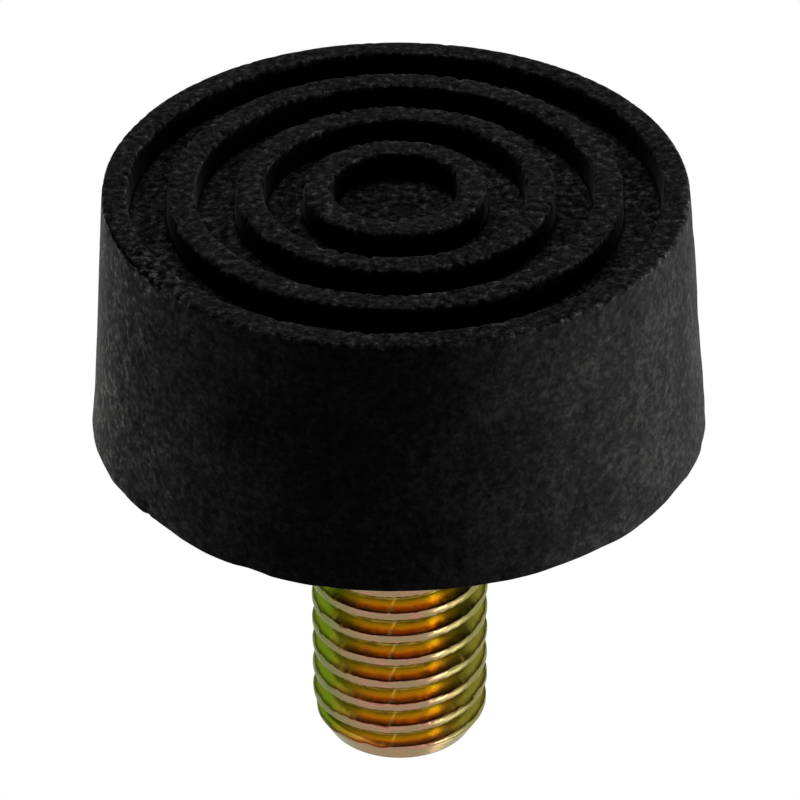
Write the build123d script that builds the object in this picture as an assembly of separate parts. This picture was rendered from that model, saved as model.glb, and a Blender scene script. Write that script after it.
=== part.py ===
from build123d import *
import math
import os

# Rubber foot: a moulded rubber body with a ringed tread and a steel stud moulded into it.
# Units are millimetres. The origin is the centre of the tread's plane: the foot stands on
# its tread at z = 0 and the stud points up along +Z.

# Tread: round ribs with grooves of one width between them, all ribs level with the rim.
sole_diameter = 25.0
rim_width = 1.14
rib_width = 1.14
rib_count = 3
recess_diameter = 5.44
tread_depth = 1.3
tread_draft_angle = 3.0
rib_edge_bevel = 0.1
groove_root_bevel = 0.2

# Rubber body: a short cone. It widens to the base, where the mould parts, so the base's
# edge is sharp.
cushion_thickness = 4.9
flank_flare = 0.9
sole_edge_bevel = 0.25

# Stud: a hexagon-head screw for an M8 x 1.25 nut, its bearing face flush with the base.
# The shank has the thread's outer diameter.
stud_diameter = 7.9
stud_length = 16.5
point_bevel = 0.55
point_length = 0.9
head_width_across_flats = 13.0
head_height = 5.3
head_crown_share = 0.95
head_crown_angle = 30.0

# Extra length that takes a cutter clear through the face it opens.
cut_through = 1.0

sole_radius = sole_diameter / 2
recess_radius = recess_diameter / 2
base_radius = sole_radius + flank_flare
body_height = tread_depth + cushion_thickness + head_height
groove_width = (sole_radius - rim_width - recess_radius) / rib_count - rib_width
rib_pitch = rib_width + groove_width
draft_slope = math.tan(math.radians(tread_draft_angle))
stud_radius = stud_diameter / 2
head_flat_radius = head_width_across_flats / 2
head_corner_radius = head_flat_radius / math.cos(math.radians(30))

STANDING = (Align.CENTER, Align.CENTER, Align.MIN)


def body_blank():
    """Return the plain cone of the body, its sole at z = 0 and the sole's edge bevelled."""
    cone = Cone(sole_radius, base_radius, body_height, align=STANDING)
    sole_edge = cone.edges().sort_by(Axis.Z)[0]
    return chamfer(sole_edge, sole_edge_bevel)


def tread_cutter(inner_radius, outer_radius):
    """Return the ring that cuts one groove, or the middle recess where inner_radius is 0.

    Seen in section, it widens at 45 degrees through the sole's plane, which bevels the
    ribs' edges. Above the bevel its walls lean in by the mould's draft, and the corners of
    its floor are bevelled too.
    """
    mouth = rib_edge_bevel + cut_through
    lean = (tread_depth - rib_edge_bevel) * draft_slope
    outer_wall = [
        (outer_radius + mouth, -cut_through),
        (outer_radius, rib_edge_bevel),
        (outer_radius - lean, tread_depth),
    ]
    inner_wall = [
        (inner_radius + lean, tread_depth),
        (inner_radius, rib_edge_bevel),
        (inner_radius - mouth, -cut_through),
    ]
    axis_line = [(0, tread_depth), (0, -cut_through)]
    far_side = inner_wall if inner_radius > 0 else axis_line
    outline = make_face(Polyline(*outer_wall, *far_side, close=True))
    floor_corners = [v for v in outline.vertices() if v.X > 0 and v.Y > rib_edge_bevel]
    return revolve(Plane.XZ * chamfer(floor_corners, groove_root_bevel), Axis.Z)


def tread_cutters():
    """Return the cutters of the grooves, from the rim inward, and of the recess."""
    rim_inner_radius = sole_radius - rim_width
    outer_radii = [rim_inner_radius - i * rib_pitch for i in range(rib_count)]
    grooves = [tread_cutter(radius - groove_width, radius) for radius in outer_radii]
    return grooves + [tread_cutter(0, recess_radius)]


def stud_head():
    """Return the hexagon head below the base's plane, its far corners cut off by a cone."""
    hexagon = RegularPolygon(head_flat_radius, 6, major_radius=False)
    prism = extrude(hexagon, head_height)
    crown_radius = head_flat_radius * head_crown_share
    crown_height = (head_corner_radius - crown_radius) * math.tan(math.radians(head_crown_angle))
    crown = Cone(crown_radius, head_corner_radius, crown_height, align=STANDING)
    drum = Cylinder(head_corner_radius, head_height - crown_height, align=STANDING)
    head = prism & (crown + Pos(0, 0, crown_height) * drum)
    return Pos(0, 0, body_height - head_height) * head


def rubber_foot():
    """Return the moulded rubber body: cone, tread and the seat of the stud's head."""
    return body_blank() - tread_cutters() - stud_head()


def threaded_stud():
    """Return the steel stud: hexagon head, round shank and bevelled point."""
    shank_length = stud_length - point_length
    shank = Cylinder(stud_radius, shank_length, align=STANDING)
    point = Cone(stud_radius, stud_radius - point_bevel, point_length, align=STANDING)
    return stud_head() + Pos(0, 0, body_height) * (shank + Pos(0, 0, shank_length) * point)


def main():
    os.makedirs("parts", exist_ok=True)
    export_step(rubber_foot(), "parts/rubber_foot.step")
    export_step(threaded_stud(), "parts/threaded_stud.step")


main()
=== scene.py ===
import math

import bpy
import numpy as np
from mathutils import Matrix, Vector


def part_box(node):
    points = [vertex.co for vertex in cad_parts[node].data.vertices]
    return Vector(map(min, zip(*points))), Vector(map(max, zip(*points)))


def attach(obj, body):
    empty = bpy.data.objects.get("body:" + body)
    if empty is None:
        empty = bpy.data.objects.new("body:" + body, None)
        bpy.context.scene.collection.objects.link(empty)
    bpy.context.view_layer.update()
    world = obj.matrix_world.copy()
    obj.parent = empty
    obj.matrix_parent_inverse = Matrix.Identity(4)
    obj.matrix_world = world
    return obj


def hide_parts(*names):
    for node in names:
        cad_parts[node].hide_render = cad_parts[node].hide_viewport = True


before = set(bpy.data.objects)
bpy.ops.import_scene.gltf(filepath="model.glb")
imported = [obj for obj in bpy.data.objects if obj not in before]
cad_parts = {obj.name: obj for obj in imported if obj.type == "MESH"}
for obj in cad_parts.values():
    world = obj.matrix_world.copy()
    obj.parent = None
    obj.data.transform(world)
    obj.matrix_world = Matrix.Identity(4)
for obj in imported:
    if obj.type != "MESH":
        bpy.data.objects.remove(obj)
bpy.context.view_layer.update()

# %% [markdown]
# # A rubber foot with a threaded stud
#
# The real thing is a small black rubber foot, 25 mm across its sole, that screws under a desk or a
# bench. Two pieces show: the moulded rubber body, with round ribs on its sole, and the steel stud
# that the rubber was moulded onto. The foot stands on its sole and the stud points up. The camera
# sees it from below and from in front, with the picture's top towards the floor, because that is
# how the ribs are shown best: sole towards the viewer, stud at the bottom of the picture.
#
# The CAD solids give the outer sizes. Each visible surface is then made here as a finer mesh: the
# edges get their small rounds and nicks, and the stud gets its thread.

MM = 0.001

body_low, body_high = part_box("rubber_foot")
stud_low, stud_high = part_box("threaded_stud")
print("body, mm:", [round(v / MM, 2) for v in (*body_low, *body_high)])
print("stud, mm:", [round(v / MM, 2) for v in (*stud_low, *stud_high)])

# %% [markdown]
# ## Sizes
#
# The outer sizes are read from the CAD solids, so this script follows them. The others are the
# named sizes of the tread and the thread, in millimetres. The thread is a standard one, M8 x 1.25:
# its pitch is 1.25 mm and its flanks stand at 60 degrees to each other.

# %% Sizes in millimetres
BASE_RADIUS = (body_high.x - body_low.x) / 2 / MM
BODY_HEIGHT = body_high.z / MM
SOLE_RADIUS = 12.5
RIM_WIDTH = 1.14
RIB_WIDTH = 1.14
RIB_COUNT = 3
RECESS_RADIUS = 2.72
TREAD_DEPTH = 1.3
DRAFT_SLOPE = math.tan(math.radians(3.0))
GROOVE_WIDTH = (SOLE_RADIUS - RIM_WIDTH - RECESS_RADIUS) / RIB_COUNT - RIB_WIDTH
RIB_PITCH = RIB_WIDTH + GROOVE_WIDTH

HEAD_FLAT_RADIUS = (stud_high.y - stud_low.y) / 2 / MM
HEAD_BOTTOM = stud_low.z / MM
STUD_TOP = stud_high.z / MM
STUD_RADIUS = 3.95
THREAD_PITCH = 1.25
POINT_RADIUS = 3.36
POINT_LENGTH = 1.0
print("groove", round(GROOVE_WIDTH, 3), "rib pitch", round(RIB_PITCH, 3))

# %% [markdown]
# ## The section of the rubber body
#
# The real body is pressed in a steel mould in one shot, so every surface flows into the next with a
# small round. It could be cut from a cylinder with booleans, but those leave sharp, perfect edges
# and long thin triangles. Here one profile runs from the middle of the sole out over the ribs and
# up the flank to the base. Its corners are rounded, and then it gets points enough for the wear.


# %% Rounded and finely spaced profiles
def rounded_profile(corners, steps=4):
    """Points along a polyline whose corners are rounded.

    Each corner is (radius, height, rounding). The round is the quadratic curve from the point that
    lies the rounding's length before the corner to the point that far after it, with the corner as
    its control point: p(t) = (1-t)^2 a + 2t(1-t) corner + t^2 b.
    """
    c = np.array(corners, float)
    places = c[:, :2]
    points = [places[:1]]
    t = np.linspace(0, 1, steps + 1)[:, None]
    for i in range(1, len(c) - 1):
        before, corner, after = places[i - 1], places[i], places[i + 1]
        reach = c[i, 2]
        a = corner + (before - corner) / np.linalg.norm(before - corner) * reach
        b = corner + (after - corner) / np.linalg.norm(after - corner) * reach
        points.append((1 - t) ** 2 * a + 2 * t * (1 - t) * corner + t**2 * b)
    points.append(places[-1:])
    return np.vstack(points)


def spaced_profile(points, longest):
    """The same line with extra points, so that no step is longer than longest."""
    out = [points[:1]]
    for a, b in zip(points[:-1], points[1:]):
        n = max(1, int(np.ceil(np.linalg.norm(b - a) / longest)))
        out.append(a + (b - a) * np.linspace(0, 1, n + 1)[1:, None])
    return np.vstack(out)


one_corner = rounded_profile([(0, 0, 0), (1, 0, 0.1), (1, 1, 0)])
print("a line with one rounded corner:", len(one_corner), "points")

# %% Section of the rubber body
EDGE_ROUND = 0.07
ROOT_ROUND = 0.22
SOLE_EDGE_ROUND = 0.2
ROW_STEP = 0.45
RIM_ROW_STEP = 0.1


def tread_corners():
    """Corners of the sole's section from the axis outward, as (radius, height, rounding).

    The recess's floor and wall come first, then for each groove its inner wall, floor and outer
    wall. The walls lean by the draft's slope times their height.
    """
    lean = TREAD_DEPTH * DRAFT_SLOPE
    corners = [(0, TREAD_DEPTH, 0)]
    corners.append((RECESS_RADIUS - lean, TREAD_DEPTH, ROOT_ROUND))
    corners.append((RECESS_RADIUS, 0, EDGE_ROUND))
    for i in range(RIB_COUNT):
        inner = RECESS_RADIUS + RIB_WIDTH + i * RIB_PITCH
        corners.append((inner, 0, EDGE_ROUND))
        corners.append((inner + lean, TREAD_DEPTH, ROOT_ROUND))
        corners.append((inner + GROOVE_WIDTH - lean, TREAD_DEPTH, ROOT_ROUND))
        corners.append((inner + GROOVE_WIDTH, 0, EDGE_ROUND))
    return corners


sole_edge = (SOLE_RADIUS, 0, SOLE_EDGE_ROUND)
base_edge = (BASE_RADIUS, BODY_HEIGHT, EDGE_ROUND)
on_the_base = (BASE_RADIUS - 4, BODY_HEIGHT, 0)
# The last corner turns the round in over the base, and isn't a point of the outside.
outside = rounded_profile([*tread_corners(), sole_edge, base_edge, on_the_base])[:-1]
outside = spaced_profile(outside, ROW_STEP)
on_rim = np.flatnonzero((outside[:, 1] < 0.01) & (outside[:, 0] > SOLE_RADIUS - RIM_WIDTH))
start, stop = on_rim[0], on_rim[-1] + 1
rim_land = spaced_profile(outside[start:stop], RIM_ROW_STEP)
outside = np.vstack([outside[:start], rim_land, outside[stop:]])
print("points along the outside of the section:", len(outside))

# %% [markdown]
# ## From a section to a surface
#
# Both pieces are nearly round, so both are grids: rows are steps along a profile, columns are steps
# round the axis. A Screw modifier turns a profile as well, but its rings stay circles. Here a row
# can have any radius at each column, so the rows of the base pass from its round edge to the
# hexagon of the head's seat, and the whole surface is one array that noise can push in and out.

# %% Surface of the rubber body
BODY_COLUMNS = 600
BASE_SHARES = (*np.linspace(0, 0.985, 8)[1:], 1.0)


def ring_angles(columns):
    """Angles of a grid's columns: equal steps round the axis, from 0."""
    return 2 * np.pi * np.arange(columns) / columns


def hexagon_radius(columns, flat_radius):
    """Distance from the axis to a hexagon's edge: flat_radius / cos(angle from the nearest flat)."""
    from_flat = (ring_angles(columns) % (np.pi / 3)) - np.pi / 6
    return flat_radius / np.cos(from_flat)


def ring_points(rows, columns):
    """Points of rings round the axis, shape (rows, columns, 3): (r cos a, r sin a, h).

    Each row is (radius, height), and its radius is one number or one for each column.
    """
    angle = ring_angles(columns)
    radius = np.array([np.broadcast_to(r, columns) for r, _ in rows])
    height = np.array([np.full(columns, h) for _, h in rows])
    return np.stack([radius * np.cos(angle), radius * np.sin(angle), height], -1)


def body_grid():
    """The outside's rows, then those of the base, then those of the seat down and in to the axis.

    The base's rows are r = (1-s) circle + s hexagon. The last one but one lies close to the
    hexagon, so that the shading turns the corner there and not across the base.
    """
    hexagon = hexagon_radius(BODY_COLUMNS, HEAD_FLAT_RADIUS)
    circle = outside[-1, 0]
    seat_depth = BODY_HEIGHT - HEAD_BOTTOM
    rows = [*outside]
    rows += [((1 - s) * circle + s * hexagon, BODY_HEIGHT) for s in BASE_SHARES]
    rows += [(hexagon, BODY_HEIGHT - s * seat_depth) for s in (0.5, 1.0)]
    rows += [(hexagon * s, HEAD_BOTTOM) for s in (0.5, 0.0)]
    return ring_points(rows, BODY_COLUMNS)


body_points = body_grid()
print("body grid:", body_points.shape)

# %% [markdown]
# ## Faults and wear of the rubber
#
# The real foot has small faults: ribs a little uneven, edges nicked where the part was pulled out
# of the mould, a ragged line where the flash was trimmed off the base, and a torn place on the rim
# with a crack beside it. They could be sculpted by hand, or a Displace modifier could shake the
# whole surface. Here smooth noise moves the points of the grid and is weighted by how close each
# one is to an edge, and a hump round an angle puts each single fault in its place. That keeps
# every fault where the real one is, and makes the same foot each time the script runs.


# %% Noise, humps and closeness to an edge
def smooth_noise(coords, wavelength, seed, waves=24):
    """Smooth random values, about -1 to 1, at points in space, with lengths in millimetres.

    The sum of sine waves whose directions and phases are drawn at random, each as long as
    wavelength or up to twice that.
    """
    draw = np.random.default_rng(seed)
    direction = draw.normal(size=(3, waves))
    direction /= np.linalg.norm(direction, axis=0)
    number = 2 * np.pi / (wavelength * draw.uniform(1, 2, waves))
    phase = draw.uniform(0, 2 * np.pi, waves)
    return np.sin(coords @ (direction * number) + phase).sum(-1) / math.sqrt(waves / 2) / 2


def hump(value, middle, reach):
    """1 at middle, falling to 0 beyond reach: exp(-((value - middle) / reach)^2)."""
    return np.exp(-(((value - middle) / reach) ** 2))


def around_axis(points):
    """Distance from the axis, angle round it from 0 to 2 pi, and height of each point."""
    x, y, z = np.moveaxis(points, -1, 0)
    return np.hypot(x, y), np.arctan2(y, x) % (2 * np.pi), z


def closeness_to_edges(profile, corners, reach=0.22):
    """1 at the profile's outer corners, falling to 0 at reach: exp(-(distance / reach)^2).

    The second array is 1 next to an edge that faces the axis and -1 next to one that faces away.
    """
    away = np.linalg.norm(profile[:, None] - np.array(corners)[None, :, :2], axis=-1)
    facing = np.where(np.arange(len(corners)) % 2 == 0, 1, -1)
    return np.exp(-((away.min(1) / reach) ** 2)), facing[away.argmin(1)]


rib_corners = [corner for corner in [*tread_corners(), sole_edge] if corner[1] == 0]
rib_edge, edge_side = np.zeros((2, len(body_points), 1))
rib_edge[: len(outside), 0], edge_side[: len(outside), 0] = closeness_to_edges(outside, rib_corners)
print("rows close to a rib's edge:", int((rib_edge > 0.5).sum()))

# %% Wear of the sole
RIM_EDGE_RADIUS = SOLE_RADIUS - 0.5
RIM_EDGE_WEAR = 0.3
NICK_DEPTH = 0.1
RAGGED_DEPTH = 0.09
TORN_ANGLE = math.radians(150)
TORN_REACH = math.radians(14)
TORN_HEIGHT = 0.3
PIT_DEPTH = 0.15
CRACK_ANGLE = math.radians(155)
CRACK_RADIUS = SOLE_RADIUS - 0.13
CRACK_WIDTH = 0.07
CRACK_DEPTH = 0.3


def sole_wear(points):
    """How far each point rises and is pulled outward, and how torn and how cracked it is.

    Next to an edge a point rises by the positive part of fine noise, and is pulled into its rib by
    another. The rim's outer edge is worn less, except where it is torn: there lumps are left
    between pits. The crack is a hump across the rim, whose middle wanders with coarse noise.
    """
    outer, angle, height = around_axis(points)
    fine, coarse = smooth_noise(points, 0.35, 1), smooth_noise(points, 1.2, 3)
    on_rim = (outer > SOLE_RADIUS - RIM_WIDTH) & (height < TORN_HEIGHT)
    torn = hump(angle, TORN_ANGLE, TORN_REACH) * on_rim
    wear = rib_edge * np.where(outer < RIM_EDGE_RADIUS, 1, RIM_EDGE_WEAR + torn)
    nicks = np.clip(fine + 0.5 * coarse - 0.15, 0, 1.2)
    pits = np.clip(smooth_noise(points, 0.5, 5) + 0.3 * coarse - 0.1, 0, 1)
    crack = hump(outer, CRACK_RADIUS + 0.04 * coarse, CRACK_WIDTH)
    crack = crack * hump(angle, CRACK_ANGLE, TORN_REACH)
    crack = crack * np.clip(1 + 0.4 * fine, 0, 1) * (height < TORN_HEIGHT / 2)
    rise = NICK_DEPTH * wear * nicks + CRACK_DEPTH * crack + PIT_DEPTH * torn * pits
    ragged = np.clip(smooth_noise(points, 0.3, 6) + 0.4 * fine, 0, 1)
    return rise, RAGGED_DEPTH * wear * edge_side * ragged, torn, crack


rise, pull, torn, crack = sole_wear(body_points)
print("deepest wear of the sole, mm:", round(float(rise.max()), 2))

# %% Wear of the flank
UNEVEN_DEPTH = 0.03
TRIMMED_DEPTH = 0.09
TRIMMED_HEIGHT = 0.7
HOLLOW_ANGLE = math.radians(180)
HOLLOW_REACH = 0.4
HOLLOW_DEPTH = 0.1
SCUFFED_REACH = 0.6
NOTCH_ANGLE = math.radians(144)
NOTCH_REACH = 0.012
NOTCH_HEIGHT = 0.3
NOTCH_DEPTH = 0.2
FLAT_ANGLE = math.radians(142)
FLAT_REACH = 0.24
FLAT_HEIGHT = 1.5
FLAT_DEPTH = 0.17


def flank_wear(points):
    """How far each point of the flank draws in, and how scuffed it is.

    The whole flank is uneven by broad and coarse noise, and its edge at the base is ragged. A
    hollow, a notch in the base's edge and a flat place on it are humps in angle and height, whose
    reaches are in radians and millimetres.
    """
    outer, angle, height = around_axis(points)
    broad, coarse = smooth_noise(points, 5.0, 2), smooth_noise(points, 1.2, 3)
    ragged = np.clip(smooth_noise(points, 2.2, 4) + 0.2, 0, 1)
    trimmed = ragged * hump(height, BODY_HEIGHT, TRIMMED_HEIGHT)
    hollow = hump(angle, HOLLOW_ANGLE, HOLLOW_REACH) * (1 - hump(height, BODY_HEIGHT, 1.0))
    notch = hump(angle, NOTCH_ANGLE, NOTCH_REACH)
    notch = notch * hump(height, BODY_HEIGHT - NOTCH_HEIGHT, NOTCH_HEIGHT)
    flat = hump(angle, FLAT_ANGLE, FLAT_REACH) * hump(height, BODY_HEIGHT, FLAT_HEIGHT)
    draw_in = UNEVEN_DEPTH * (np.clip(broad + 0.6, 0, 2) + np.clip(coarse, 0, 1))
    draw_in = draw_in + TRIMMED_DEPTH * trimmed
    draw_in = draw_in + HOLLOW_DEPTH * hollow + NOTCH_DEPTH * notch + FLAT_DEPTH * flat
    on_flank = (outer > SOLE_RADIUS - 0.05) & (height > 0)
    return on_flank * draw_in, on_flank * hump(angle, HOLLOW_ANGLE, SCUFFED_REACH)


draw_in, scuffed = flank_wear(body_points)
print("deepest wear of the flank, mm:", round(float(draw_in.max()), 2))

# %% The worn surface
LEAN = 0.13
UPRIGHT_ANGLE = math.radians(315)
UPRIGHT_REACH = 0.6
UPRIGHT_SHARE = 0.9


def worn_surface(points, rise, inward):
    """The grid with its wear: z + rise, and x and y times 1 - inward / radius.

    The body also leans towards -X, by LEAN at the sole, and hardly at all round UPRIGHT_ANGLE.
    """
    outer, angle, height = around_axis(points)
    lean = LEAN * (1 - UPRIGHT_SHARE * hump(angle, UPRIGHT_ANGLE, UPRIGHT_REACH))
    worn = points.copy()
    worn[..., 2] += rise
    worn[..., :2] *= (1 - inward / np.maximum(outer, 1))[..., None]
    worn[..., 0] -= lean * (1 - height / BODY_HEIGHT)
    return worn


worn_points = worn_surface(body_points, rise, draw_in - pull)
print("worn body, mm across:", np.ptp(worn_points.reshape(-1, 3), axis=0).round(2))

# %% [markdown]
# ## From a grid to a mesh
#
# A mesh wants numbered points and faces that name them. The numbers have the grid's own layout, so
# the faces come from the same array, shifted by one row and one column. At a pole all points of a
# row share one number, and the triangles that would have no size are left out, which closes the
# surface without a hole or a doubled point. The points go in with foreach_set, in one call, which
# is much quicker than one by one. Marks for the materials go along as attributes of the mesh.


# %% Numbers, triangles and pieces
def numbered(shape, start=0):
    """Vertex numbers of a grid of points, row by row from start."""
    return start + np.arange(shape[0] * shape[1]).reshape(shape[:2])


def closed(index):
    """A grid of vertex numbers with its first column repeated as the last."""
    return np.column_stack([index, index[:, 0]])


def grid_triangles(index):
    """Two triangles for each cell of a grid of vertex numbers, without those of zero size."""
    a, b = index[:-1, :-1], index[1:, :-1]
    c, d = index[:-1, 1:], index[1:, 1:]
    first = np.stack([a, c, d], -1).reshape(-1, 3)
    second = np.stack([a, d, b], -1).reshape(-1, 3)
    tris = np.vstack([first, second])
    whole = (tris[:, 0] != tris[:, 1]) & (tris[:, 1] != tris[:, 2]) & (tris[:, 2] != tris[:, 0])
    return tris[whole]


def make_piece(name, points, triangles, marks):
    """A mesh object from points in millimetres and triangles. Points that nothing uses are left out."""
    used, flat = np.unique(triangles, return_inverse=True)
    triangles = flat.reshape(-1, 3)
    points = points.reshape(-1, 3)[used]
    mesh = bpy.data.meshes.new(name)
    mesh.vertices.add(len(points))
    mesh.vertices.foreach_set("co", (points * MM).astype(np.float32).ravel())
    mesh.loops.add(triangles.size)
    mesh.loops.foreach_set("vertex_index", triangles.astype(np.int32).ravel())
    mesh.polygons.add(len(triangles))
    mesh.polygons.foreach_set("loop_start", np.arange(0, triangles.size, 3, dtype=np.int32))
    mesh.polygons.foreach_set("use_smooth", np.ones(len(triangles), bool))
    for key, values in marks.items():
        layer = mesh.attributes.new(key, "FLOAT", "POINT")
        layer.data.foreach_set("value", values.ravel()[used].astype(np.float32))
    mesh.update()
    mesh.validate()
    piece = bpy.data.objects.new(name, mesh)
    bpy.context.scene.collection.objects.link(piece)
    print(name, len(points), "vertices", len(triangles), "triangles")
    return piece


two_cells = grid_triangles(closed(numbered((2, 2))))
print("a ring of two cells:", len(two_cells), "triangles")


# %% The rubber body
def rubber_marks(scuffs, crack):
    """Values for the material: tread, where dust shows more, and a mark of painted shade.

    tread = 1 on the sole + 1.2 scuffs, and the shade mark = 1 on the grooves' walls - 0.2 scuffs +
    crack: painted shade on the walls and in the crack, which the scuffs lessen so that more dust shows.
    """
    radius, height = outside.T
    on_sole = (height < TREAD_DEPTH + 0.01) & (radius < SOLE_RADIUS)
    on_wall = (height > 0.12) & (height < TREAD_DEPTH - 0.1) & (radius < RIM_EDGE_RADIUS)
    sole, wall = np.zeros((2, len(body_points), 1))
    sole[: len(outside), 0], wall[: len(outside), 0] = on_sole, on_wall
    # The walls' and the crack's mark darkens them in the material, as painted shade.
    return {"tread": sole + 1.2 * scuffs, "painted_shade_and_scuff": wall - 0.2 * scuffs + crack}


body_index = numbered(body_points.shape)
body_index[0] = body_index[0, 0]
body_index[-1] = body_index[-1, 0]
body_triangles = grid_triangles(closed(body_index))
body_marks = rubber_marks(0.5 * torn + scuffed, crack)
rubber_body = make_piece("moulded_rubber_body", worn_points, body_triangles, body_marks)
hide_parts("rubber_foot")
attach(rubber_body, "root")

# %% [markdown]
# ## The threaded stud
#
# The real stud is a hexagon-head screw whose head the rubber was moulded round, so only the head's
# bearing face shows, level with the base. Its thread is rolled: hard dies press the grooves into a
# round blank, and the metal they push out rises to the crests, which stay a little flat and ragged.
# Blender's screw modifier could sweep a thread, but it leaves the two ends open. Here the rows of
# the grid climb with the helix, so that every crest lies along a row, and the last column is sewn
# to the first one pitch higher up. Rows that would run past an end are gathered on that end's
# plane.

# %% Section of the thread
CREST_HALF = 0.165
FLANK_STEP = 0.38
ROOT_RADIUS = 3.3
FLANK_ROUND = 0.022


def groove_depth(from_crest, half_width):
    """Share of the full depth, from 0 on the crest to 1 in the root, with rounded corners.

    It is the ramp from half_width to half_width + FLANK_STEP, as a difference of two soft ramps,
    each FLANK_ROUND * log(1 + exp(x / FLANK_ROUND)).
    """
    inner = np.logaddexp(0, (from_crest - half_width) / FLANK_ROUND)
    outer = np.logaddexp(0, (from_crest - half_width - FLANK_STEP) / FLANK_ROUND)
    return (inner - outer) * FLANK_ROUND / FLANK_STEP


print("depth half way down the flank:", groove_depth(CREST_HALF + FLANK_STEP / 2, CREST_HALF))

# %% Rows that climb with the helix
STUD_COLUMNS = 432
CREST_PHASE = 0.43
# Heights of a turn's rows from the middle of its crest, closest where the crest turns to the flank.
ROW_OFFSETS = np.array(
    [-0.56, -0.51, -0.46, -0.25, -0.2, -0.165, -0.08, 0.08, 0.165, 0.21, 0.3, 0.42, 0.54, 0.625]
)
ROWS_PER_TURN = len(ROW_OFFSETS)
SHANK_ROWS = (math.ceil((STUD_TOP - BODY_HEIGHT) / THREAD_PITCH) + 4) * ROWS_PER_TURN


def climbing_rows():
    """Angle of each point of the shank's grid, its height, and its offset from its crest.

    The row i of column j lies at height start + (i // n + j / columns) pitch + offset(i % n), where
    n is the number of rows in a turn.
    """
    i, j = np.indices((SHANK_ROWS, STUD_COLUMNS))
    start = BODY_HEIGHT - 2 * THREAD_PITCH + CREST_PHASE
    offset = ROW_OFFSETS[i % ROWS_PER_TURN]
    height = start + (i // ROWS_PER_TURN + j / STUD_COLUMNS) * THREAD_PITCH + offset
    return 2 * np.pi * j / STUD_COLUMNS, height, offset


print("shank grid:", SHANK_ROWS, "rows,", STUD_COLUMNS, "columns")

# %% Radius of the shank
RAGGED_CREST = 0.018
UNEVEN_CREST = 0.02
WORN_LENGTH = 2.2
WORN_DEPTH = 0.1
NECK_RADIUS = 3.56
RUN_OUT_LENGTH = 1.4
PLAIN_POINT = 1.2


def rolled_thread(angle, height, offset):
    """Radius of the crest, radius of the surface and depth in the groove at each point.

    Fine noise makes the crest's edges ragged, coarser noise makes the crest uneven, and the crests
    near the point are worn down with the square of their nearness to it.
    """
    blank = np.stack([STUD_RADIUS * np.cos(angle), STUD_RADIUS * np.sin(angle), height], -1)
    ragged = smooth_noise(blank, 0.22, 21) + 0.7 * smooth_noise(blank, 0.7, 22)
    from_crest = np.abs(offset)
    at_edge = hump(from_crest, CREST_HALF, 0.06)
    depth = groove_depth(from_crest, CREST_HALF + RAGGED_CREST * ragged * at_edge)
    crest = STUD_RADIUS - UNEVEN_CREST * np.clip(0.6 + smooth_noise(blank, 1.6, 23), 0, 2)
    worn = np.clip((height - STUD_TOP + WORN_LENGTH) / WORN_LENGTH, 0, 1) ** 2
    crest = crest - WORN_DEPTH * worn
    return crest, crest - depth * (crest - ROOT_RADIUS), depth


def thread_ends(crest, radius, depth, height):
    """Radius and depth with the ends of the thread, and the share of the plain point.

    Above the head the thread grows out of a plain neck by the smooth step 3 t^2 - 2 t^3. At the
    point the groove fills up, and the cone cuts off what is wider.
    """
    t = np.clip((height - BODY_HEIGHT) / RUN_OUT_LENGTH, 0, 1)
    radius = NECK_RADIUS + (radius - NECK_RADIUS) * t**2 * (3 - 2 * t)
    plain = np.clip((height - STUD_TOP + PLAIN_POINT) / FLANK_STEP, 0, 1)
    slope = (STUD_RADIUS - POINT_RADIUS) / POINT_LENGTH
    cone = POINT_RADIUS + np.clip(STUD_TOP - height, 0, None) * slope
    return np.minimum(radius + plain * (crest - radius), cone), depth * (1 - plain), plain


print("depth of the thread, mm:", round(STUD_RADIUS - ROOT_RADIUS, 2))

# %% Line that the dies leave
DIE_LINE_ANGLE = math.radians(97.0)
DIE_LINE_LEAN = math.radians(3.4)
DIE_LINE_WIDTH = math.radians(1.0)
DIE_LINE_HEIGHT = 0.03


def die_line_share(angle, offset, depth, plain):
    """1 on the line where the rolling dies met, on the lower flank of each turn.

    It is a hump in the angle, whose middle leans with the square of the depth, faded out at the
    crest, in the root and on the plain point.
    """
    line_angle = DIE_LINE_ANGLE - DIE_LINE_LEAN * depth**2
    mid_flank = np.clip((depth - 0.1) / 0.15, 0, 1) * np.clip((1.0 - depth) / 0.1, 0, 1)
    return hump(angle, line_angle, DIE_LINE_WIDTH) * (offset < 0) * mid_flank * (1 - plain)


print("width of the dies' line, mm:", round(2 * STUD_RADIUS * DIE_LINE_WIDTH, 2))

# %% Surface of the shank
def shank_grid():
    """Points of the threaded shank, their marks, and each column's first and last row.

    A column's rows before its first are gathered on the base's plane, and those after its last on
    the stud's end.
    """
    angle, height, offset = climbing_rows()
    crest, radius, depth = rolled_thread(angle, height, offset)
    radius, depth, plain = thread_ends(crest, radius, depth, height)
    die_line = die_line_share(angle, offset, depth, plain)
    radius = radius + DIE_LINE_HEIGHT * die_line
    first = (height < BODY_HEIGHT).sum(0)
    last = (height <= STUD_TOP).sum(0) - 1
    row = np.arange(SHANK_ROWS)[:, None]
    height = np.where(row <= first, BODY_HEIGHT, np.where(row >= last, STUD_TOP, height))
    radius = np.where(row >= last, POINT_RADIUS, radius)
    points = np.stack([radius * np.cos(angle), radius * np.sin(angle), height], -1)
    return points, {"depth": depth, "die_line": die_line}, first, last


def sewn_numbers(first, last):
    """Vertex numbers of the shank, with gathered rows as one and an extra column.

    The extra column is the first one again, a turn's rows further on.
    """
    row, column = np.indices((SHANK_ROWS - ROWS_PER_TURN, STUD_COLUMNS))
    number = np.clip(row, first, last) * STUD_COLUMNS + column
    sewn = np.clip(row[:, 0] + ROWS_PER_TURN, first[0], last[0]) * STUD_COLUMNS
    return np.column_stack([number, sewn])


shank, shank_marks, first_row, last_row = shank_grid()
print("rows between the base and the stud's end:", int((last_row - first_row).min()))

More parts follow.
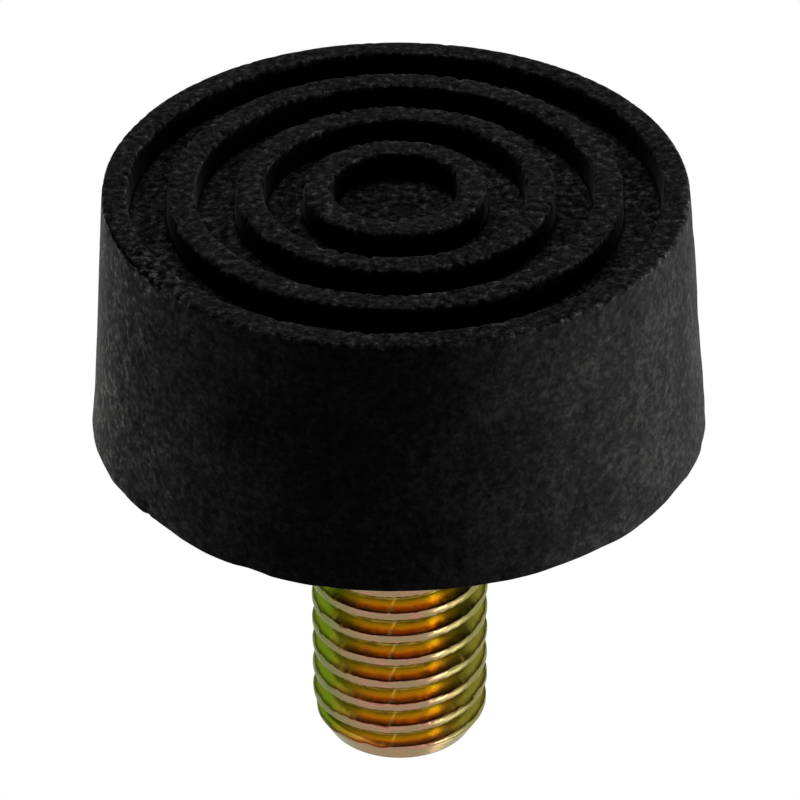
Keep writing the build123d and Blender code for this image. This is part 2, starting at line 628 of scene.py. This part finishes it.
# %% Head, point and whole stud
CROWN_SHARE = 0.95
CROWN_ANGLE = math.radians(30)
FACE_EDGE = 0.1
FILLET_RADII = (3.8, 3.62)


def head_rows():
    """Rows of the hexagon head from its middle to its bearing face, as (radius, height).

    The crown's radius is min(hexagon, cone). The face has a row close to its edge and two close to
    the shank, so that the shading turns the corners there and not across the face.
    """
    hexagon = hexagon_radius(STUD_COLUMNS, HEAD_FLAT_RADIUS)
    crown = HEAD_FLAT_RADIUS * CROWN_SHARE
    slope = 1 / math.tan(CROWN_ANGLE)
    steps = np.linspace(0, (hexagon.max() - crown) / slope, 5)
    rows = [(0, HEAD_BOTTOM)]
    rows += [(np.minimum(hexagon, crown + up * slope), HEAD_BOTTOM + up) for up in steps]
    rows += [(radius, BODY_HEIGHT) for radius in (hexagon, hexagon - FACE_EDGE, *FILLET_RADII)]
    return rows


def make_stud(grid, marks, first, last):
    """The stud's mesh: head rings, the sewn shank, and rings that close the point."""
    head = ring_points(head_rows(), STUD_COLUMNS)
    point = ring_points([(POINT_RADIUS * s, STUD_TOP) for s in (0.93, 0.5, 0.0)], STUD_COLUMNS)
    points = np.vstack([part.reshape(-1, 3) for part in (grid, head, point)])
    grid_count = grid.shape[0] * STUD_COLUMNS
    head_number = numbered(head.shape, grid_count)
    head_number[0] = head_number[0, 0]
    point_number = numbered(point.shape, head_number.max() + 1)
    point_number[-1] = point_number[-1, 0]
    columns = np.arange(STUD_COLUMNS)
    head_number = np.vstack([head_number, first * STUD_COLUMNS + columns])
    point_number = np.vstack([last * STUD_COLUMNS + columns, point_number])
    triangles = [
        grid_triangles(closed(head_number)),
        grid_triangles(sewn_numbers(first, last)),
        grid_triangles(closed(point_number)),
    ]
    spare = (0, len(points) - grid_count)
    marks = {key: np.pad(value.ravel(), spare) for key, value in marks.items()}
    return make_piece("zinc_plated_stud", points, np.vstack(triangles), marks)


stud = make_stud(shank, shank_marks, first_row, last_row)
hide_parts("threaded_stud")
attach(stud, "root")

# %% [markdown]
# ## Helpers for materials
#
# Colours are written as people read them, in sRGB hex, and one function turns them into the linear
# numbers that Blender's shaders want. Pattern sizes are written in millimetres too. Nodes could be
# placed by hand in the shader editor, but a function that adds one with its settings and links
# keeps a whole material readable in a few lines.

# %% Colours, scales and nodes
# Numbers of the Mix node's sockets when it mixes colours.
MIX_SHARE, MIX_FROM, MIX_TO = 0, 6, 7
MIX_RESULT = 2


def colour(hex_code):
    """Linear RGBA of an sRGB colour such as #1a1a1a: ((c + 0.055) / 1.055)^2.4 for each channel."""
    channels = [int(hex_code[i : i + 2], 16) / 255 for i in (1, 3, 5)]
    linear = [c / 12.92 if c <= 0.04045 else ((c + 0.055) / 1.055) ** 2.4 for c in channels]
    return (*linear, 1.0)


def per_mm(size):
    """A texture's scale, in Object coordinates, for features about size millimetres across."""
    return 1 / (size * MM)


def add(tree, kind, settings=None, links=None):
    """A new node: settings by socket or property name, links as {socket: output to take}."""
    node = tree.nodes.new("ShaderNode" + kind)
    for name, value in (settings or {}).items():
        if isinstance(name, str) and hasattr(node, name):
            setattr(node, name, value)
        else:
            node.inputs[name].default_value = value
    for name, output in (links or {}).items():
        tree.links.new(output, node.inputs[name])
    return node


def ramp(tree, value, stops):
    """A colour ramp through (position, hex colour) stops."""
    node = add(tree, "ValToRGB", links={"Fac": value})
    elements = node.color_ramp.elements
    while len(elements) < len(stops):
        elements.new(0.5)
    for element, (position, code) in zip(elements, stops):
        element.position = position
        element.color = colour(code)
    return node.outputs["Color"]


def new_material(name):
    """An empty node material and its tree."""
    material = bpy.data.materials.new(name)
    material.use_nodes = True
    material.node_tree.nodes.clear()
    return material, material.node_tree


print("middle grey in linear numbers:", round(colour("#808080")[0], 3))

# %% [markdown]
# ## Black moulded rubber
#
# Carbon black makes this rubber nearly black. What shows its form is the gloss: a dull one, because
# the steel mould was blasted, with fine grain and with dust that has settled unevenly. One noise
# could stand for it all, but the real dust has two sizes: clouds a few millimetres across, and
# specks a third of a millimetre across, which are stronger on the sole and where it is scuffed. The
# walls of the grooves and the crack are darkened by a mark of the mesh, as painted shade, which
# takes the dust away there. The grain is fine noise in the height.


# %% Black moulded rubber
# The darkest tints are where the painted shade of the walls and the crack takes the dust away.
RUBBER_TINTS = [(0.3, "#030303"), (0.5, "#131313"), (0.66, "#232322"), (0.8, "#40403e")]
CLOUD_SIZE = 3.0
SPECK_SIZE = 0.34
GRAIN_SIZE = 0.22


def dust_and_painted_shade(tree, place):
    """How dusty a place is, with painted shade: 0.5 + 0.3 cloud + (0.7 + tread) speck - 0.5 shade.

    Cloud and speck are noises centred on 0, and tread and shade are marks of the mesh. Shade is
    painted shade on the grooves' walls and in the crack, less a fifth of the scuffs.
    """
    centred = {"operation": "SUBTRACT", 1: 0.5}
    cloud_kind = {"Scale": per_mm(CLOUD_SIZE), "Detail": 4.0, "Roughness": 0.6}
    cloud = add(tree, "TexNoise", cloud_kind, {"Vector": place}).outputs["Fac"]
    cloud = add(tree, "Math", centred, {0: cloud}).outputs[0]
    speck_kind = {"Scale": per_mm(SPECK_SIZE), "Detail": 4.0, "Roughness": 0.75}
    speck = add(tree, "TexNoise", speck_kind, {"Vector": place}).outputs["Fac"]
    speck = add(tree, "Math", centred, {0: speck}).outputs[0]
    tread = add(tree, "Attribute", {"attribute_name": "tread"}).outputs["Fac"]
    stronger = {"To Min": 0.7, "To Max": 1.7, "clamp": False}
    share = add(tree, "MapRange", stronger, {"Value": tread}).outputs[0]
    times_and = {"operation": "MULTIPLY_ADD"}
    dust = add(tree, "Math", {**times_and, 2: 0.5}, {0: speck, 1: share}).outputs[0]
    dust = add(tree, "Math", {**times_and, 1: 0.3}, {0: cloud, 2: dust}).outputs[0]
    # The grooves' walls and the crack are darkened here as painted shade, scuffed places a little less.
    painted_shade_and_scuff = add(tree, "Attribute", {"attribute_name": "painted_shade_and_scuff"}).outputs["Fac"]
    return add(tree, "Math", {**times_and, 1: -0.5}, {0: painted_shade_and_scuff, 2: dust}).outputs[0]


def moulded_rubber():
    """Natural rubber with carbon black, moulded in blasted steel: near black, dull and mottled, with
    painted shade on the grooves' walls and in the crack.
    """
    material, tree = new_material("moulded_black_rubber")
    place = add(tree, "TexCoord").outputs["Object"]
    # This value is the dust together with the painted shade of the walls and the crack.
    dust = dust_and_painted_shade(tree, place)
    dull_range = {"From Min": 0.3, "From Max": 0.7, "To Min": 0.5, "To Max": 0.72}
    dull = add(tree, "MapRange", dull_range, {"Value": dust}).outputs[0]
    grain_kind = {"Scale": per_mm(GRAIN_SIZE), "Detail": 3.0, "Roughness": 0.6}
    grain = add(tree, "TexNoise", grain_kind, {"Vector": place}).outputs["Fac"]
    bump = add(tree, "Bump", {"Strength": 0.5, "Distance": 0.05 * MM}, {"Height": grain}).outputs[0]
    rubber = add(
        tree,
        "BsdfPrincipled",
        {"Specular IOR Level": 0.002, "IOR": 1.5, "Sheen Weight": 0.04, "Sheen Roughness": 0.3},
        {"Base Color": ramp(tree, dust, RUBBER_TINTS), "Roughness": dull, "Normal": bump},
    )
    add(tree, "OutputMaterial", links={"Surface": rubber.outputs[0]})
    return material


rubber_body.data.materials.append(moulded_rubber())
print(rubber_body.data.materials[0].name)

# %% [markdown]
# ## Yellow passivated zinc
#
# The steel is plated with zinc and dipped in a chromate bath, which leaves a thin yellow film. Its
# thickness differs between crest and groove, and so do its colours: pale on the crests, where dies
# and nuts have rubbed, orange and amber down the flank and olive towards the root. Just off each
# crest a dark band is partly the film's dark red and partly painted shade along the crest's edge,
# and the root's dark colour is painted shade. The green and olive towards the sides are the film's
# colours seen at a slant, painted on as a fixed reflection colour, so they stay on those sides in
# every view. The shader's thin film setting could work such colours out as the view turns. Here the
# colour comes from ramps along the depth in the groove, one for the front and one for each side,
# and the line that the dies left is a paler mark on top, a painted glint.

# %% Colours of the film with painted shade and slant colour, from the crest to the root
# Stop 0.12 is a dark band just off the crest, partly film and partly painted shade; the last stop is
# painted shade in the root.
FRONT_FILM_AND_SHADE = [
    (0.0, "#957e5e"),
    (0.06, "#b07c6a"),
    (0.12, "#64200a"),
    (0.3, "#c87c30"),
    (0.55, "#d0aa3c"),
    (0.8, "#b09838"),
    (1.0, "#5c5014"),
]
# The side ramps are the film's colours seen at a slant, painted on as reflection colour, with the same
# painted shade off the crest and in the root.
LEFT_SLANT_COLOUR_AND_SHADE = [
    (0.0, "#7a7c4e"),
    (0.06, "#747846"),
    (0.12, "#2c3006"),
    (0.35, "#647c10"),
    (0.7, "#647c0c"),
    (1.0, "#343c06"),
]
RIGHT_SLANT_COLOUR_AND_SHADE = [
    (0.0, "#8e8850"),
    (0.06, "#8c844e"),
    (0.12, "#2a2206"),
    (0.35, "#7c7626"),
    (0.7, "#767022"),
    (1.0, "#2c2808"),
]
# A pale tint along the dies' raised line, a painted glint.
DIE_LINE_GLINT = "#f0dc98"
print("stops of the film's ramps:", len(FRONT_FILM_AND_SHADE), len(LEFT_SLANT_COLOUR_AND_SHADE), len(RIGHT_SLANT_COLOUR_AND_SHADE))

# %% Yellow passivated zinc
FILM_SIZE = 0.9
STREAK_SIZE = 0.7
SCRATCH_SIZE = 0.16


def film_level(tree, place):
    """Depth in the groove, shifted a little by noise and by streaks round the stud."""
    film_kind = {"Scale": per_mm(FILM_SIZE), "Detail": 3.0, "Roughness": 0.6}
    film = add(tree, "TexNoise", film_kind, {"Vector": place}).outputs["Fac"]
    along = add(tree, "Mapping", {"Scale": (1, 1, 6)}, {"Vector": place}).outputs[0]
    streak_kind = {"Scale": per_mm(STREAK_SIZE), "Detail": 2.0}
    streak = add(tree, "TexNoise", streak_kind, {"Vector": along}).outputs["Fac"]
    both = add(tree, "Math", {"operation": "ADD"}, {0: film, 1: streak}).outputs[0]
    shift_range = {"From Min": 0.75, "From Max": 1.25, "To Min": -0.06, "To Max": 0.06}
    shift = add(tree, "MapRange", shift_range, {"Value": both}).outputs[0]
    depth = add(tree, "Attribute", {"attribute_name": "depth"}).outputs["Fac"]
    return add(tree, "Math", {"operation": "ADD"}, {0: depth, 1: shift}).outputs[0]


def film_shade_and_slant_colour(tree, place):
    """The front's ramp, mixed with the left one's and the right one's towards the sides.

    The ramps hold painted shade off the crests and in the root. The sides' ramps paint the film's
    slant colours as a fixed reflection colour, and the right one reaches in far enough to turn the
    bright line down the stud more gold. The dies' line gets a pale tint, a painted glint.
    """
    level = film_level(tree, place)
    x = add(tree, "SeparateXYZ", links={"Vector": place}).outputs["X"]
    tint = ramp(tree, level, FRONT_FILM_AND_SHADE)
    # The sides' ramps are the film's slant colour, painted onto the stud's sides; the right one also
    # tints the bright line gold.
    for film, start, end in ((LEFT_SLANT_COLOUR_AND_SHADE, -1.6, -3.2), (RIGHT_SLANT_COLOUR_AND_SHADE, 0.9, 3.0)):
        reach = {"From Min": start * MM, "From Max": end * MM}
        share = add(tree, "MapRange", reach, {"Value": x}).outputs[0]
        side = {MIX_SHARE: share, MIX_FROM: tint, MIX_TO: ramp(tree, level, film)}
        tint = add(tree, "Mix", {"data_type": "RGBA"}, side).outputs[MIX_RESULT]
    # The dies' line gets a pale tint, a painted glint.
    line = add(tree, "Attribute", {"attribute_name": "die_line"}).outputs["Fac"]
    painted_glint = {"data_type": "RGBA", MIX_TO: colour(DIE_LINE_GLINT)}
    return add(tree, "Mix", painted_glint, {MIX_SHARE: line, MIX_FROM: tint}).outputs[MIX_RESULT]


def yellow_zinc():
    """Rolled steel with zinc and a yellow chromate film: metal with bands of film colours and painted
    shade, painted slant colours at the sides and a painted glint on the dies' line.
    """
    material, tree = new_material("yellow_passivated_zinc")
    place = add(tree, "TexCoord").outputs["Object"]
    scratch_kind = {"Scale": per_mm(SCRATCH_SIZE), "Detail": 2.0}
    scratch = add(tree, "TexNoise", scratch_kind, {"Vector": place}).outputs["Fac"]
    low_bump = {"Strength": 0.15, "Distance": 0.02 * MM}
    bump = add(tree, "Bump", low_bump, {"Height": scratch}).outputs[0]
    zinc = add(
        tree,
        "BsdfPrincipled",
        {"Metallic": 1.0, "Roughness": 0.24, "Specular Tint": colour("#dcdccc")},
        {"Base Color": film_shade_and_slant_colour(tree, place), "Normal": bump},
    )
    add(tree, "OutputMaterial", links={"Surface": zinc.outputs[0]})
    return material


stud.data.materials.append(yellow_zinc())
print(stud.data.materials[0].name)

# %% [markdown]
# ## Floor
#
# The foot stands on a pale floor, and the main view looks up at the sole from under it. A curved
# backdrop would hide the sole from there. So the floor is a plane that only rays from the camera
# meet, its underside lets them through, and it fades out round the foot. Seen from above it carries
# the foot's shadow as any floor does.

# %% Floor
FLOOR_HALF = 80
FADE_START = 22
FADE_END = 70


def floor_material():
    """A pale diffuse surface, clear from below and beyond the fade's end."""
    material, tree = new_material("pale_studio_floor")
    pale = add(tree, "BsdfDiffuse", {"Color": colour("#f0f0ee")}).outputs[0]
    clear = add(tree, "BsdfTransparent").outputs[0]
    below = add(tree, "NewGeometry").outputs["Backfacing"]
    place = add(tree, "TexCoord").outputs["Object"]
    away = add(tree, "VectorMath", {"operation": "LENGTH"}, {0: place}).outputs["Value"]
    soft = {"interpolation_type": "SMOOTHSTEP"}
    reach = {"From Min": FADE_START * MM, "From Max": FADE_END * MM}
    fade = add(tree, "MapRange", {**soft, **reach}, {"Value": away}).outputs[0]
    hidden = add(tree, "Math", {"operation": "MAXIMUM"}, {0: below, 1: fade}).outputs[0]
    both = add(tree, "MixShader", links={0: hidden, 1: pale, 2: clear}).outputs[0]
    add(tree, "OutputMaterial", links={"Surface": both})
    return material


def make_floor():
    """A square of pale floor at z = 0 that only the camera sees."""
    half = FLOOR_HALF * MM
    corners = [(-half, -half, 0), (half, -half, 0), (half, half, 0), (-half, half, 0)]
    mesh = bpy.data.meshes.new("studio_floor")
    mesh.from_pydata(corners, [], [(0, 1, 2, 3)])
    mesh.materials.append(floor_material())
    floor = bpy.data.objects.new("studio_floor", mesh)
    bpy.context.scene.collection.objects.link(floor)
    floor.visible_diffuse = False
    floor.visible_glossy = False
    floor.visible_transmission = False
    floor.visible_shadow = False
    return floor


print(make_floor().name, 2 * FLOOR_HALF, "mm across")

# %% [markdown]
# ## Background
#
# The photograph's ground is plain white, and lamps strong enough to make a backdrop white would
# bleach the foot. So the world is white to the camera and to the reflections in the metal, and a
# faint grey as a source of light.

# %% Background
AMBIENT = 0.05


def make_world():
    """White to camera, glossy and transmission rays, and AMBIENT as a source of light."""
    world = bpy.data.worlds.new("white_studio")
    world.use_nodes = True
    tree = world.node_tree
    tree.nodes.clear()
    path = add(tree, "LightPath").outputs
    seen = path["Is Camera Ray"]
    for kind in ("Is Glossy Ray", "Is Transmission Ray"):
        seen = add(tree, "Math", {"operation": "MAXIMUM"}, {0: seen, 1: path[kind]}).outputs[0]
    level = add(tree, "MapRange", {"To Min": AMBIENT, "To Max": 1.0}, {"Value": seen}).outputs[0]
    sky = add(tree, "Background", {"Color": colour("#ffffff")}, {"Strength": level}).outputs[0]
    add(tree, "OutputWorld", links={"Surface": sky})
    return world


bpy.context.scene.world = make_world()
print(bpy.context.scene.world.name)

# %% [markdown]
# ## Lights
#
# Soft boxes stand round the foot as in a small studio. The photograph is lit from beyond the sole,
# so the rib walls that face the camera are black, and from the right, where the flank is lighter
# and a bright line runs down the stud. One large soft box would light the whole foot evenly and
# lose both. Two lamps above light the stud's end and the base, which other views show.

# %% Lights
FOOT_MIDDLE = (0, 0, 14)


def soft_box(name, place, size, power, mirrored=True):
    """An area lamp, size = (width, height) in millimetres, that faces the foot's middle.

    One that isn't mirrored lights the surfaces but doesn't show in the metal.
    """
    light = bpy.data.lights.new(name, "AREA")
    light.shape = "RECTANGLE"
    light.size, light.size_y = size[0] * MM, size[1] * MM
    light.energy = power
    lamp = bpy.data.objects.new(name, light)
    bpy.context.scene.collection.objects.link(lamp)
    lamp.location = Vector(place) * MM
    from_middle = lamp.location - Vector(FOOT_MIDDLE) * MM
    lamp.rotation_euler = from_middle.to_track_quat("Z", "Y").to_euler()
    lamp.visible_camera = False
    lamp.visible_glossy = mirrored
    return lamp


lamps = [
    soft_box("sole_key", (0, -70, -265), (110, 90), 0.5),
    soft_box("right_side", (270, -60, 40), (160, 200), 5.2, mirrored=False),
    soft_box("left_side", (-270, -80, 30), (160, 160), 1.7, mirrored=False),
    soft_box("right_strip", (215, 190, 60), (38, 230), 0.28),
    soft_box("right_soft", (230, 70, 150), (110, 160), 0.12),
    soft_box("tip_key", (85, -60, 264), (40, 40), 0.03),
    soft_box("base_key", (-120, -200, 260), (200, 200), 1.6, mirrored=False),
]
print("lamps:", len(lamps))

# %% [markdown]
# ## Camera
#
# The picture was taken from below the floor's level, sole towards the lens. A camera could be
# turned by eye until it looks right. Here its place, direction, lens and small roll were worked out
# from the outlines of the ribs, the base and the stud in the photograph, with the sole 25 mm
# across, so that the render lies over the photograph.

# %% Camera
CAMERA_ELEVATION = math.radians(33.76)
CAMERA_DISTANCE = 205.17 * MM
CAMERA_ROLL = math.radians(0.227)
LOOK_AT = Vector((0.054, 0, 10.87)) * MM
FOCAL_PIXELS = 4707.5
IMAGE_PIXELS = 800
SENSOR_WIDTH = 36.0


def make_camera():
    """A camera that looks at LOOK_AT from the +Y side and below, with -Z towards the image's top."""
    towards = Vector((0, -math.cos(CAMERA_ELEVATION), math.sin(CAMERA_ELEVATION)))
    right = Vector((1, 0, 0))
    up = right.cross(towards)
    turned_right = right * math.cos(CAMERA_ROLL) - up * math.sin(CAMERA_ROLL)
    turned_up = up * math.cos(CAMERA_ROLL) + right * math.sin(CAMERA_ROLL)
    data = bpy.data.cameras.new("photo_view")
    data.sensor_width = SENSOR_WIDTH
    data.lens = SENSOR_WIDTH * FOCAL_PIXELS / IMAGE_PIXELS
    data.clip_start, data.clip_end = 0.01, 10.0
    camera = bpy.data.objects.new("photo_view", data)
    bpy.context.scene.collection.objects.link(camera)
    camera.location = LOOK_AT - towards * CAMERA_DISTANCE
    axes = (turned_right, turned_up, -towards)
    camera.rotation_euler = Matrix(axes).transposed().to_euler()
    return camera


bpy.context.scene.camera = make_camera()
bpy.context.scene.view_settings.view_transform = "Standard"
print("lens, mm:", round(bpy.context.scene.camera.data.lens, 1))
